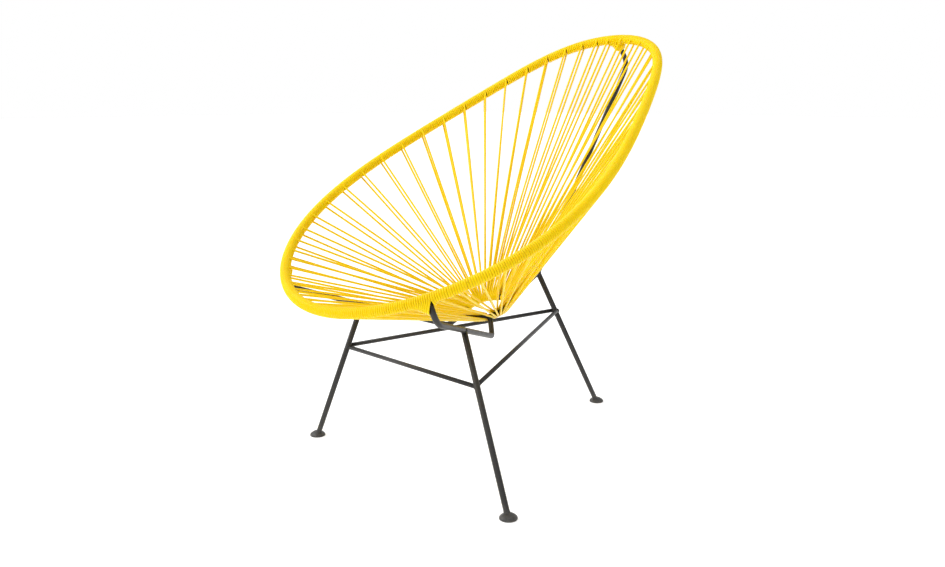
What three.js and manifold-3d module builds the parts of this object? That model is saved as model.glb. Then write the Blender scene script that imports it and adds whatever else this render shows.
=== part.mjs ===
// An acapulco chair: plastic cord wound round an egg-shaped rim and strung from it to a small hub ring,
// carried by three bent support rods on three braced legs.
// Millimetres, +Z up. The sitter faces -Y, and left and right are the sitter's own, so left is +X.

import * as THREE from 'three';
import { mergeVertices } from 'three/addons/utils/BufferGeometryUtils.js';
import Module from 'manifold-3d';

const wasm = await Module();
wasm.setup();

// Round stock, as diameters
const legRod = 12;
const stretcherRod = 9;
const supportRod = 11.5;
const rimRod = 12;
const hubRod = 8.5;
const cord = 4.5;

// Clear space between pieces that touch, how far a coped end reaches over the round it is welded to, and
// the overrun of a cutting tool
const fitGap = 0.3;
const copeDepth = 1.5;
const overrun = 2;

// The rim is an egg in a plane that rises towards the head, with its sides dipped a little under that plane
const rimCentreY = 51;
const rimCentreZ = 633.5;
const rimTilt = THREE.MathUtils.degToRad(30.4);
const rimHalfWidth = 328;
const rimHalfLength = 509.5;
const eggShares = [-0.34, 0, 0.24, 0.1];
const sideDip = 7;
const extraDipAtHead = 6;

// The hub ring, tilted the same way but less
const hubCentreY = 53;
const hubCentreZ = 310;
const hubTilt = THREE.MathUtils.degToRad(19);
const hubRadius = 46;

// The side rods meet the rim at this turn from the head, and the hub ring at this turn from its rear
const sideRimTurn = 2.55;
const sideHubTurn = THREE.MathUtils.degToRad(129);

// Where the support rods bend, measured from their joints on the rim and on the hub ring. The last bend,
// beside the hub ring, is tight and the others are wide
const wideBend = 30;
const tightBend = 16;
const sideRimBend = { outward: 7, back: 14, down: 46.5 };
const sideHubBend = { outward: 40, down: 34 };
const rearRimBend = { back: 46, down: 56 };
const rearKnee = { back: 122.5, up: 39 };
const rearHubBend = { back: 23, down: 14 };

// Feet and legs: a side leg's top meets its rod at this share of the run between the rod's two bends
const footAcross = 299;
const footFrontY = -193.5;
const footRearY = 450;
const sideLegShare = 0.438;
const footRadius = 17.5;
const footHeight = 11.5;
const footRise = 7;
const flareRadius = 8;
const flareLength = 9;

// Lathe profiles, from the axis at the bottom to the axis at the top, as shares of a radius and of a height
const footDomeShares = [[1, 0.12], [1, 0.26], [0.93, 0.46], [0.72, 0.7], [0.42, 0.92], [0, 1]];
const footBevelShare = 0.04;
const flareShares = { rim: 0.35, waist: 0.65 };
const collarShares = { shoulder: 0.35, shoulderRadius: 0.97, slope: 0.75 };

// Stretchers meet the legs at these heights: the front one, the side ones a step above it, and their rear ends
const frontStretcherHeight = 225.5;
const stretcherStep = 3;
const sideStretcherHeight = frontStretcherHeight + stretcherStep;
const rearStretcherHeight = 264.5;

// Cord pairs in each stretch of rim between two rod joints, and how far a joint keeps the nearest pair away
const sidePairs = 21;
const frontPairs = 14;
const rimJointSpace = 19;
const hubJointSpace = 7.8;
const cordGap = 0.55;

// Pairs stand closer towards the head and the front: the first gap's share of a full gap, and the ramp's length
const headGapShare = 0.53;
const frontGapShare = 0.57;
const rampGaps = 5;

// The collar of cord that bulges over a rod's end at the rim
const collarRadius = 12.5;
const collarLength = 24;
const collarLip = 2.5;

// Facets
const rodSides = 10;
const legSides = 12;
const footSides = 20;
const rimSides = 6;
const sleeveSides = 10;
const hubSides = 8;
const hubSteps = 42;
const cordSides = 6;
const cordTurnSteps = 4;
const bendSteps = 4;
const lengthSamples = 1440;
const gapSamples = 24;
const turnStep = 1e-4;

const sides = { left: 1, right: -1 };

// Small helpers for solids

function solidOf(geometry) {
  const bare = geometry.clone();
  bare.deleteAttribute('normal');
  bare.deleteAttribute('uv');
  const merged = mergeVertices(bare);
  return new wasm.Manifold(new wasm.Mesh({
    numProp: 3,
    vertProperties: new Float32Array(merged.attributes.position.array),
    triVerts: new Uint32Array(merged.index.array),
  }));
}

function geometryOf(solid) {
  const mesh = solid.getMesh();
  const geometry = new THREE.BufferGeometry();
  geometry.setAttribute('position', new THREE.BufferAttribute(mesh.vertProperties, mesh.numProp));
  geometry.setIndex(new THREE.BufferAttribute(mesh.triVerts, 1));
  geometry.computeVertexNormals();
  return geometry;
}

function polygon(radius, count) {
  return Array.from({ length: count }, (_, i) => {
    const angle = (i / count) * 2 * Math.PI;
    return new THREE.Vector2(radius * Math.cos(angle), radius * Math.sin(angle));
  });
}

// Vertex radius of a polygon whose flats lie at the given radius
function roundOutside(radius, count) {
  return radius / Math.cos(Math.PI / count);
}

// Turns a lathe, whose axis is Y, so that it stands on a point and grows along a direction
function placeAlong(geometry, point, direction) {
  const turn = new THREE.Quaternion().setFromUnitVectors(new THREE.Vector3(0, 1, 0), direction);
  return geometry.applyQuaternion(turn).translate(point.x, point.y, point.z);
}

function bar(from, to, radius, count) {
  const run = to.clone().sub(from);
  const geometry = new THREE.CylinderGeometry(radius, radius, run.length(), count);
  const middle = from.clone().add(to).multiplyScalar(0.5);
  return placeAlong(geometry, middle, run.normalize());
}

function cutBy(geometry, ...tools) {
  return geometryOf(tools.reduce((rest, tool) => rest.subtract(solidOf(tool)), solidOf(geometry)));
}

// A path that an extrusion follows from station to station, so a straight run takes one step
class StationPath extends THREE.Curve {
  constructor(stations) {
    super();
    this.stations = stations;
  }

  at(share) {
    return this.stations[Math.round(share * (this.stations.length - 1))];
  }

  getPointAt(share) {
    return this.at(share).point.clone();
  }

  getTangentAt(share) {
    return this.at(share).tangent.clone();
  }
}

function extrudeAlong(stations, outline) {
  return new THREE.ExtrudeGeometry(new THREE.Shape(outline), {
    steps: stations.length - 1,
    extrudePath: new StationPath(stations),
    bevelEnabled: false,
  });
}

// The rim's centre line and its length

function rimPoint(turn) {
  const c = Math.cos(turn);
  const s = Math.sin(turn);
  const egg = eggShares.reduce((sum, share, i) => sum + share * c ** (i + 1), 1);
  const along = rimHalfLength * c;
  const above = -(sideDip + extraDipAtHead * c) * s ** 2;
  return new THREE.Vector3(
    rimHalfWidth * s * egg,
    rimCentreY + along * Math.cos(rimTilt) - above * Math.sin(rimTilt),
    rimCentreZ + along * Math.sin(rimTilt) + above * Math.cos(rimTilt),
  );
}

function rimTangent(turn) {
  return rimPoint(turn + turnStep).sub(rimPoint(turn - turnStep)).normalize();
}

const rimLengths = [0];
for (let i = 1; i <= lengthSamples; i += 1) {
  const step = (2 * Math.PI) / lengthSamples;
  rimLengths.push(rimLengths[i - 1] + rimPoint(i * step).distanceTo(rimPoint((i - 1) * step)));
}

function rimLengthAt(turn) {
  const place = (turn / (2 * Math.PI)) * lengthSamples;
  const i = Math.min(Math.floor(place), lengthSamples - 1);
  return THREE.MathUtils.lerp(rimLengths[i], rimLengths[i + 1], place - i);
}

function rimTurnAt(length) {
  const i = Math.max(rimLengths.findIndex((reach) => reach > length), 1);
  const share = (length - rimLengths[i - 1]) / (rimLengths[i] - rimLengths[i - 1]);
  return ((i - 1 + share) / lengthSamples) * 2 * Math.PI;
}

// The hub ring's centre line

function hubPoint(turn) {
  return new THREE.Vector3(
    hubRadius * Math.sin(turn),
    hubCentreY + hubRadius * Math.cos(turn) * Math.cos(hubTilt),
    hubCentreZ + hubRadius * Math.cos(turn) * Math.sin(hubTilt),
  );
}

function hubTangent(turn) {
  return hubPoint(turn + turnStep).sub(hubPoint(turn - turnStep)).normalize();
}

// Anchors: where each pair of strands leaves the rim, and where it turns round the hub ring

function gapShare(index, count) {
  const fromHead = headGapShare + ((1 - headGapShare) * index) / rampGaps;
  const fromFront = frontGapShare + ((1 - frontGapShare) * (count - 1 - index)) / rampGaps;
  return Math.min(1, fromHead, fromFront);
}

// Places along one stretch of rim, as lengths, for gaps with the given shares
function spread(from, to, shares) {
  const total = shares.reduce((sum, share) => sum + share, 0);
  const places = [from];
  for (const share of shares) {
    places.push(places.at(-1) + (share / total) * (to - from));
  }
  return places;
}

function stretchOfPairs(rimFrom, rimTo, hubFrom, hubTo, shares) {
  const hubSpace = Math.asin(hubJointSpace / hubRadius);
  const lengths = spread(rimFrom + rimJointSpace, rimTo - rimJointSpace, shares);
  return lengths.map((length, i) => ({
    length,
    hubTurn: THREE.MathUtils.lerp(hubFrom + hubSpace, hubTo - hubSpace, i / (lengths.length - 1)),
  }));
}

const rimLength = rimLengths[lengthSamples];
const sideJointLength = rimLengthAt(sideRimTurn);
const sideShares = Array.from({ length: sidePairs - 1 }, (_, i) => gapShare(i, sidePairs - 1));
const frontShares = Array.from({ length: frontPairs - 1 }, () => 1);
const anchors = [
  ...stretchOfPairs(0, sideJointLength, 0, sideHubTurn, sideShares),
  ...stretchOfPairs(sideJointLength, rimLength - sideJointLength, sideHubTurn, 2 * Math.PI - sideHubTurn,
    frontShares),
  ...stretchOfPairs(rimLength - sideJointLength, rimLength, 2 * Math.PI - sideHubTurn, 2 * Math.PI,
    sideShares.toReversed()),
];

// Stations round the rim: one halfway to each anchor from the one before, then one at the anchor
const rimStations = anchors.flatMap((anchor, i) => {
  const before = i > 0 ? anchors[i - 1].length : anchors.at(-1).length - rimLength;
  const halfway = (before + anchor.length) / 2;
  return [Math.max(halfway, 0), anchor.length].map((length) => {
    const turn = rimTurnAt(length);
    return { point: rimPoint(turn), tangent: rimTangent(turn) };
  });
});

function stationsBetween(first, last) {
  const count = rimStations.length;
  return Array.from({ length: last - first + 1 }, (_, i) => rimStations[(first + i + count) % count]);
}

function shiftEnds(stations, shift) {
  const shifted = stations.map(({ point, tangent }) => ({ point: point.clone(), tangent }));
  shifted[0].point.addScaledVector(shifted[0].tangent, -shift);
  shifted.at(-1).point.addScaledVector(shifted.at(-1).tangent, shift);
  return shifted;
}

// The rim's closed loop of round rod, grown by a clearance when it serves as a cutter
function rimLoop(growth = 0) {
  const path = new StationPath([...rimStations, rimStations[0]]);
  return new THREE.TubeGeometry(path, rimStations.length, rimRod / 2 + growth, rimSides, true);
}

function hubLoop(growth = 0) {
  const ring = new THREE.TorusGeometry(hubRadius, hubRod / 2 + growth, hubSides, hubSteps);
  return ring.rotateX(hubTilt).translate(0, hubCentreY, hubCentreZ);
}

// Support rods: straight runs joined by round bends

function bentStations(corners) {
  const stations = [];
  corners.forEach((corner, i) => {
    const into = i > 0 && corner.clone().sub(corners[i - 1]).normalize();
    const outOf = i < corners.length - 1 && corners[i + 1].clone().sub(corner).normalize();
    if (!into || !outOf) {
      stations.push({ point: corner.clone(), tangent: (into || outOf).clone() });
      return;
    }
    const bend = into.angleTo(outOf);
    const radius = i === corners.length - 2 ? tightBend : wideBend;
    const inward = outOf.clone().addScaledVector(into, -outOf.dot(into)).normalize();
    const start = corner.clone().addScaledVector(into, -radius * Math.tan(bend / 2));
    for (let k = 0; k <= bendSteps; k += 1) {
      const angle = (bend * k) / bendSteps;
      const point = start.clone().addScaledVector(into, radius * Math.sin(angle));
      point.addScaledVector(inward, radius * (1 - Math.cos(angle)));
      const tangent = into.clone().multiplyScalar(Math.cos(angle)).addScaledVector(inward, Math.sin(angle));
      stations.push({ point, tangent });
    }
  });
  return stations;
}

function sideRodCorners(side) {
  const joint = rimPoint(side * sideRimTurn);
  const hubJoint = hubPoint(side * sideHubTurn);
  const outward = new THREE.Vector3(side * Math.sin(sideHubTurn), Math.cos(sideHubTurn), 0);
  const rimBend = joint.clone();
  rimBend.x += side * sideRimBend.outward;
  rimBend.y += sideRimBend.back;
  rimBend.z -= sideRimBend.down;
  const hubBend = hubJoint.clone().addScaledVector(outward, sideHubBend.outward);
  hubBend.z -= sideHubBend.down;
  return [joint, rimBend, hubBend, hubJoint];
}

function rearRodCorners() {
  const joint = rimPoint(0);
  const hubJoint = hubPoint(0);
  const rimBend = new THREE.Vector3(0, joint.y + rearRimBend.back, joint.z - rearRimBend.down);
  const knee = new THREE.Vector3(0, hubJoint.y + rearKnee.back, hubJoint.z + rearKnee.up);
  const hubBend = new THREE.Vector3(0, hubJoint.y + rearHubBend.back, hubJoint.z - rearHubBend.down);
  return [joint, rimBend, knee, hubBend, hubJoint];
}

// The same corners with both ends drawn back to the surfaces that they are welded to
function seatedCorners(corners) {
  const seated = corners.map((corner) => corner.clone());
  const rimRun = corners[1].clone().sub(corners[0]).normalize();
  const hubRun = corners.at(-2).clone().sub(corners.at(-1)).normalize();
  seated[0].addScaledVector(rimRun, rimRod / 2 - copeDepth);
  seated.at(-1).addScaledVector(hubRun, hubRod / 2 - copeDepth);
  return seated;
}

function rodAlong(corners, growth = 0) {
  return extrudeAlong(bentStations(corners), polygon(supportRod / 2 + growth, rodSides));
}

const rodClearance = roundOutside(supportRod / 2 + fitGap, rodSides) - supportRod / 2;
const rodCorners = {
  rear: rearRodCorners(),
  left: sideRodCorners(sides.left),
  right: sideRodCorners(sides.right),
};

function supportRodSolid(name) {
  const rod = rodAlong(seatedCorners(rodCorners[name]));
  const rimCutter = rimLoop(roundOutside(rimRod / 2 + fitGap, rimSides) - rimRod / 2);
  const hubCutter = hubLoop(roundOutside(hubRod / 2 + fitGap, hubSides) - hubRod / 2);
  return cutBy(rod, rimCutter, hubCutter);
}

// Legs, each from the middle of its foot to the rod that it carries

function sideLegLine(side, name) {
  const [, rimBend, hubBend] = rodCorners[name];
  const top = rimBend.clone().lerp(hubBend, sideLegShare);
  return { foot: new THREE.Vector3(side * footAcross, footFrontY, 0), top };
}

const legLines = {
  rear: { foot: new THREE.Vector3(0, footRearY, 0), top: rodCorners.rear[2].clone() },
  left: sideLegLine(sides.left, 'left'),
  right: sideLegLine(sides.right, 'right'),
};

function legPointAt(name, height) {
  const { foot, top } = legLines[name];
  return foot.clone().lerp(top, height / top.z);
}

function profile(points) {
  return points.map(([radius, height]) => new THREE.Vector2(radius, height));
}

function footOutline(growth = 0) {
  const edge = footRadius + growth;
  const dome = footDomeShares.map(([across, up]) => [edge * across, footHeight * up + growth]);
  return profile([[0, -growth], [edge * (1 - footBevelShare), -growth], ...dome]);
}

function footSolid(name, growth = 0) {
  const { foot } = legLines[name];
  const dome = new THREE.LatheGeometry(footOutline(growth), footSides);
  return placeAlong(dome, foot, new THREE.Vector3(0, 0, 1));
}

function legSolid(name) {
  const { foot, top } = legLines[name];
  const start = legPointAt(name, footRise);
  const run = top.clone().sub(foot).normalize();
  const length = start.distanceTo(top) - (supportRod / 2 - copeDepth);
  const radius = legRod / 2;
  const outline = profile([
    [0, 0],
    [flareRadius, 0],
    [flareRadius, flareLength * flareShares.rim],
    [(flareRadius + radius) / 2, flareLength * flareShares.waist],
    [radius, flareLength],
    [radius, length],
    [0, length],
  ]);
  const leg = placeAlong(new THREE.LatheGeometry(outline, legSides), start, run);
  return cutBy(leg, footSolid(name, fitGap), rodAlong(rodCorners[name], rodClearance));
}

// Stretchers: the front one runs from leg to leg, and the two side ones land side by side on the rear leg

function stretcherEnds(from, to) {
  const run = to.clone().sub(from).normalize();
  const back = legRod / 2 - copeDepth;
  return [from.clone().addScaledVector(run, back), to.clone().addScaledVector(run, -back)];
}

function legCutter(name) {
  const { foot, top } = legLines[name];
  return bar(foot, top, roundOutside(legRod / 2 + fitGap, legSides), legSides);
}

function frontStretcher(growth = 0) {
  const [from, to] = stretcherEnds(
    legPointAt('left', frontStretcherHeight),
    legPointAt('right', frontStretcherHeight),
  );
  return bar(from, to, stretcherRod / 2 + growth, rodSides);
}

function sideStretcher(side, name) {
  const atRear = legPointAt('rear', rearStretcherHeight);
  atRear.x += (side * (stretcherRod + fitGap)) / 2;
  const [from, to] = stretcherEnds(legPointAt(name, sideStretcherHeight), atRear);
  const frontCutter = frontStretcher(roundOutside(stretcherRod / 2 + fitGap, rodSides) - stretcherRod / 2);
  return cutBy(bar(from, to, stretcherRod / 2, rodSides), legCutter(name), legCutter('rear'), frontCutter);
}

// The strung cord: each pair of strands is one hairpin, from the winding on the rim, down to the hub ring,
// half a turn round it, and back to the winding

const woundRadius = rimRod / 2 + fitGap + cord;
const hubWrapRadius = (hubRod / 2 + fitGap) / Math.cos(Math.PI / (2 * cordTurnSteps)) + cord / 2;

// Cords crowd round the ring, so each is pressed narrower there than it is wide
const hubPitches = anchors.slice(1).map((anchor, i) => anchor.hubTurn - anchors[i].hubTurn);
const hubCordWidth = Math.min(cord, Math.min(...hubPitches) * (hubRadius - hubWrapRadius) - cordGap);

function acrossRun(tangent, run) {
  return tangent.clone().addScaledVector(run, -tangent.dot(run)).normalize();
}

function cordRing(centre, outward, across, width) {
  return polygon(1, cordSides).map(({ x, y }) => centre.clone()
    .addScaledVector(outward, (x * cord) / 2)
    .addScaledVector(across, (y * width) / 2));
}

function hairpinRings(anchor) {
  const turn = rimTurnAt(anchor.length);
  const rim = rimPoint(turn);
  const hub = hubPoint(anchor.hubTurn);
  const run = rim.clone().sub(hub).normalize();
  const rimAcross = acrossRun(rimTangent(turn), run);
  const hubAcross = acrossRun(hubTangent(anchor.hubTurn), run);
  const rimUp = rimAcross.clone().cross(run);
  const hubUp = hubAcross.clone().cross(run);
  const rimRing = (up) => {
    const centre = rim.clone().addScaledVector(up, woundRadius - cord / 2);
    return cordRing(centre, up, rimAcross, cord);
  };
  const hubRings = Array.from({ length: cordTurnSteps + 1 }, (_, k) => {
    const angle = Math.PI * (1 - k / cordTurnSteps);
    const outward = hubUp.clone().multiplyScalar(Math.cos(angle)).addScaledVector(run, -Math.sin(angle));
    const centre = hub.clone().addScaledVector(outward, hubWrapRadius);
    return cordRing(centre, outward, hubAcross, hubCordWidth);
  });
  return [rimRing(rimUp.clone().negate()), ...hubRings, rimRing(rimUp)];
}

// Joins rings of points into one closed tube
function loft(rings) {
  const count = rings[0].length;
  const positions = rings.flat().flatMap((point) => point.toArray());
  const index = [];
  for (let i = 0; i < rings.length - 1; i += 1) {
    for (let j = 0; j < count; j += 1) {
      const a = i * count + j;
      const b = i * count + ((j + 1) % count);
      index.push(a, b, a + count, b, b + count, a + count);
    }
  }
  const end = (rings.length - 1) * count;
  for (let j = 1; j < count - 1; j += 1) {
    index.push(0, j + 1, j, end, end + j, end + j + 1);
  }
  const geometry = new THREE.BufferGeometry();
  geometry.setAttribute('position', new THREE.Float32BufferAttribute(positions, 3));
  geometry.setIndex(index);
  return geometry;
}

function collarSolid(corners) {
  const run = corners[1].clone().sub(corners[0]).normalize();
  const lip = supportRod / 2 + collarLip;
  const outline = profile([
    [0, 0],
    [collarRadius, 0],
    [collarRadius * collarShares.shoulderRadius, collarLength * collarShares.shoulder],
    [(collarRadius + lip) / 2, collarLength * collarShares.slope],
    [lip, collarLength],
    [0, collarLength],
  ]);
  return solidOf(placeAlong(new THREE.LatheGeometry(outline, legSides), corners[0], run));
}

// One section of the winding with the hairpins that leave it: pairs first to last, counted round the rim.
// The winding has many hundreds of turns that lie edge to edge, so here it is a plain sleeve round the rim
function cordSection(first, last, rodName) {
  const stations = shiftEnds(stationsBetween(2 * first, 2 * last + 2), -fitGap / 2);
  let panel = solidOf(extrudeAlong(stations, polygon(woundRadius, sleeveSides)));
  for (let i = first; i <= last; i += 1) {
    panel = panel.add(solidOf(loft(hairpinRings(anchors.at(i)))));
  }
  if (rodName) {
    panel = panel.add(collarSolid(rodCorners[rodName]));
    panel = panel.subtract(solidOf(rodAlong(rodCorners[rodName], rodClearance)));
  }
  const bore = polygon(roundOutside(rimRod / 2 + fitGap, rimSides), rimSides);
  return geometryOf(panel.subtract(solidOf(extrudeAlong(shiftEnds(stations, overrun), bore))));
}

// Sections of cord in order round the rim, each with its pairs and the rod whose end it covers.
// The first lies evenly across the middle of the head
const sectionPairs = 4;
const longSectionPairs = 5;
const cordSections = [
  ['cord_rear', sectionPairs, 'rear'],
  ['cord_left_1', sectionPairs],
  ['cord_left_2', sectionPairs],
  ['cord_left_3', sectionPairs],
  ['cord_left_4', longSectionPairs],
  ['cord_left_rod', sectionPairs, 'left'],
  ['cord_front_left', longSectionPairs],
  ['cord_front_right', longSectionPairs],
  ['cord_right_rod', sectionPairs, 'right'],
  ['cord_right_4', longSectionPairs],
  ['cord_right_3', sectionPairs],
  ['cord_right_2', sectionPairs],
  ['cord_right_1', sectionPairs],
];

// The least gap between neighbouring hairpins, measured between points on their skins
function pointsBetween(ring, next, steps) {
  return Array.from({ length: steps }, (_, k) => ring.map((point, i) => point.clone().lerp(next[i], k / steps)));
}

function skinPoints(anchor) {
  const rings = hairpinRings(anchor);
  const last = rings.length - 1;
  const straightRuns = [0, last - 1];
  const runs = rings.slice(0, last).map((ring, i) => {
    const steps = straightRuns.includes(i) ? gapSamples : 1;
    return pointsBetween(ring, rings[i + 1], steps);
  });
  return [...runs.flat(2), ...rings[last]];
}

function leastGapBetween(skin, other) {
  return Math.min(...skin.map((point) => Math.min(...other.map((mate) => point.distanceTo(mate)))));
}

function leastCordGap() {
  const skins = anchors.map(skinPoints);
  return Math.min(...skins.map((skin, i) => leastGapBetween(skin, skins[(i + 1) % skins.length])));
}

// The chair

const steelLook = { color: 0x2c2a29, roughness: 0.45, metalness: 0.55 };
const footLook = { color: 0x262626, roughness: 0.5, metalness: 0.5 };
const cordLook = { color: 0xf2c412, roughness: 0.4, metalness: 0 };

const chair = new THREE.Group();

function addPiece(name, geometry, look) {
  const mesh = new THREE.Mesh(geometry, new THREE.MeshStandardMaterial(look));
  mesh.name = name;
  chair.add(mesh);
}

addPiece('rim', rimLoop(), steelLook);
addPiece('hub_ring', hubLoop(), steelLook);
for (const name of ['rear', 'left', 'right']) {
  addPiece(`support_rod_${name}`, supportRodSolid(name), steelLook);
  addPiece(`leg_${name}`, legSolid(name), steelLook);
  addPiece(`foot_${name}`, footSolid(name), footLook);
}
addPiece('stretcher_front', cutBy(frontStretcher(), legCutter('left'), legCutter('right')), steelLook);
addPiece('stretcher_left', sideStretcher(sides.left, 'left'), steelLook);
addPiece('stretcher_right', sideStretcher(sides.right, 'right'), steelLook);

let nextPair = -sectionPairs / 2;
for (const [name, pairs, rodName] of cordSections) {
  addPiece(name, cordSection(nextPair, nextPair + pairs - 1, rodName), cordLook);
  nextPair += pairs;
}

console.log(`${anchors.length} pairs of strands, rim ${rimLength.toFixed(0)} mm long`);
console.log(`cord pressed to ${hubCordWidth.toFixed(2)} mm at the hub, least gap ${leastCordGap().toFixed(2)} mm`);

// The origin goes to the floor under the middle of the chair's box
const box = new THREE.Box3().setFromObject(chair);
chair.position.y = -(box.min.y + box.max.y) / 2;
chair.updateMatrixWorld(true);

export default chair;
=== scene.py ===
# %% [markdown]
# # An acapulco chair
# The real chair is a bent and welded steel frame that one long plastic cord turns into a seat: the cord
# is wound round an egg-shaped rim, turn on turn, and every few centimetres it runs down to a small hub
# ring at the bottom, round it and back up. This lesson dresses the measured frame with cord, coated
# steel and welds. Every length is in metres, and the measured frame is loaded first, because it never
# moves.

# %% Load the measured frame
from math import asin, atan2, cos, pi, radians, sin, tan

import bpy
import numpy as np
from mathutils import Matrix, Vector


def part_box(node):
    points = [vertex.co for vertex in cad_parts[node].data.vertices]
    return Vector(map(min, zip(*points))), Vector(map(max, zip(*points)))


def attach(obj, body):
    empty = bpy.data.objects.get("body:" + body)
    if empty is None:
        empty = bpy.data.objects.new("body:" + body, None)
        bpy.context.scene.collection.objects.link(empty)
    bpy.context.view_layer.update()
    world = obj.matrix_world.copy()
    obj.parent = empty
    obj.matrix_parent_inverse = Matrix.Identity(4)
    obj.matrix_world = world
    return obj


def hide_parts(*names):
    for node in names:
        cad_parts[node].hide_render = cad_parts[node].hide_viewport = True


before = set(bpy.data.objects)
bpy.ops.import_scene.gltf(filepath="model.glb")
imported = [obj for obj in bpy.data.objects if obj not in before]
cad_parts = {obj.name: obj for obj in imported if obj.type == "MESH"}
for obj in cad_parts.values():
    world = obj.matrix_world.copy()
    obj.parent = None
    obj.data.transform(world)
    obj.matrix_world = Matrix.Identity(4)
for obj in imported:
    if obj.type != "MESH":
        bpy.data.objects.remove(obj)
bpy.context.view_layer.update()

# %% [markdown]
# ## The camera
# The chair was photographed from the front and its left, a little above the seat. The lens and the
# place of the camera were worked out from the photograph, so the render can be laid over it. Blender
# can aim a camera with a constraint, but here its direction was measured too, so its turn is given.

# %% Camera
camera_place = Vector((1.37478, -1.41334, 0.76156))
camera_azimuth = radians(45.435)
camera_elevation = radians(11.52)
camera_lens_mm = 35.19

camera = bpy.data.objects.new("camera", bpy.data.cameras.new("camera"))
bpy.context.scene.collection.objects.link(camera)
bpy.context.scene.camera = camera
camera_back = Vector((
    sin(camera_azimuth) * cos(camera_elevation),
    -cos(camera_azimuth) * cos(camera_elevation),
    sin(camera_elevation),
))
camera.location = camera_place
camera.rotation_mode = "QUATERNION"
camera.rotation_quaternion = (-camera_back).to_track_quat("-Z", "Y")
camera.data.lens = camera_lens_mm
print(f"camera {camera_place.length:.2f} m from the middle of the floor")

# %% [markdown]
# ## Where things are
# The frame's own boxes say where the hub ring and the feet are. The rim is an egg, and one formula
# gives its centre line: a circle squashed to an oval, made narrower towards the head, tilted, and
# dipped a little at the sides. Having it as a formula means that the cord can be wound on it exactly.

# %% The rim and the hub ring as curves
hub_centre = np.array(sum(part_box("hub_ring"), Vector()) / 2)
hub_tilt = radians(19)
hub_radius = 0.046
hub_rod = 0.0085

rim_from_hub = np.array([0, -0.002, 0.3235])
rim_tilt = radians(30.4)
rim_half_width = 0.328
rim_half_length = 0.5095
rim_rod = 0.012
egg_shares = (-0.34, 0, 0.24, 0.1)
side_dip = 0.007
extra_dip_at_head = 0.006


def rim_point(turn):
    """A place on the rim's centre line. Turn 0 is the head, and half a turn is the front."""
    c, s = np.cos(turn), np.sin(turn)
    egg = 1 + sum(share * c ** (power + 1) for power, share in enumerate(egg_shares))
    along = rim_half_length * c
    above = -(side_dip + extra_dip_at_head * c) * s**2
    offset = [
        rim_half_width * s * egg,
        along * cos(rim_tilt) - above * sin(rim_tilt),
        along * sin(rim_tilt) + above * cos(rim_tilt),
    ]
    return hub_centre + rim_from_hub + np.stack(offset, -1)


def hub_point(turn):
    across, along = hub_radius * np.sin(turn), hub_radius * np.cos(turn)
    return hub_centre + np.stack([across, along * cos(hub_tilt), along * sin(hub_tilt)], -1)


def unit(vectors):
    return vectors / np.linalg.norm(vectors, axis=-1, keepdims=True)


def direction_of(curve, turn, step=1e-4):
    return unit(curve(turn + step) - curve(turn - step))


print(f"the hub ring's middle is {hub_centre[2]:.3f} m above the floor")

# %% [markdown]
# The cord is wound evenly along the rim, so a place on the rim has to be told by its distance along it
# and not by an angle. Walking round the curve in small steps gives a table that leads from one to the
# other.

# %% Distance along the rim
curve_samples = 5761
curve_turns = np.linspace(0, 2 * pi, curve_samples)
curve_steps = np.linalg.norm(np.diff(rim_point(curve_turns), axis=0), axis=1)
curve_lengths = np.concatenate([[0], np.cumsum(curve_steps)])
rim_length = curve_lengths[-1]
print(f"the rim is {rim_length:.3f} m round")


def turn_at(length):
    whole, rest = np.divmod(length, rim_length)
    return np.interp(rest, curve_lengths, curve_turns) + whole * 2 * pi


# %% [markdown]
# ## Anchors
# An anchor is a place where the cord stops winding, runs to the hub ring and comes back. The three rods
# that carry the rim part the anchors into three stretches, and no anchor lies on a rod. Anchors stand
# closer together near the head and beside the side rods, where the rim turns sharply, so the strands
# stay evenly spread as seen from the seat. Each gap in a side stretch has a share of the stretch's
# length, and those at its ends have less.

# %% Sizes of the anchors' stretches
side_joint_turn = 2.55
side_joint_length = np.interp(side_joint_turn, curve_turns, curve_lengths)
side_hub_turn = radians(129)
side_pairs = 21
front_pairs = 14
rim_joint_space = 0.019
hub_joint_space = 0.0078
head_gap_share = 0.53
front_gap_share = 0.57
ramp_gaps = 5


def gap_share(index, count):
    from_head = head_gap_share + (1 - head_gap_share) * index / ramp_gaps
    from_front = front_gap_share + (1 - front_gap_share) * (count - 1 - index) / ramp_gaps
    return min(1, from_head, from_front)


def stretch(rim_ends, hub_ends, shares):
    """The anchors of one stretch: their distances along the rim and their turns round the hub ring."""
    places = np.concatenate([[0], np.cumsum(shares)]) / sum(shares)
    hub_space = asin(hub_joint_space / hub_radius)
    lengths = rim_ends[0] + rim_joint_space + places * (rim_ends[1] - rim_ends[0] - 2 * rim_joint_space)
    return lengths, np.linspace(hub_ends[0] + hub_space, hub_ends[1] - hub_space, len(lengths))


side_shares = [gap_share(i, side_pairs - 1) for i in range(side_pairs - 1)]
print(f"gaps from {min(side_shares):.2f} to {max(side_shares):.2f} of a full one")

# %% [markdown]
# The stretches follow one another round the rim: one side from the head to its rod, the front between
# the two side rods, and the other side back to the head as the mirror image of the first.

# %% Anchors in order round the rim
far_joint_length = rim_length - side_joint_length
rim_joints = [0, side_joint_length, far_joint_length, rim_length]
hub_joints = [0, side_hub_turn, 2 * pi - side_hub_turn, 2 * pi]
shares_by_stretch = [side_shares, [1] * (front_pairs - 1), side_shares[::-1]]
stretches = [
    stretch(rim_joints[k:k + 2], hub_joints[k:k + 2], shares)
    for k, shares in enumerate(shares_by_stretch)
]
anchor_lengths = np.concatenate([lengths for lengths, _ in stretches])
anchor_hub_turns = np.concatenate([turns for _, turns in stretches])
anchor_count = len(anchor_lengths)
print(f"{anchor_count} anchors, so {2 * anchor_count} strands")


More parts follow.
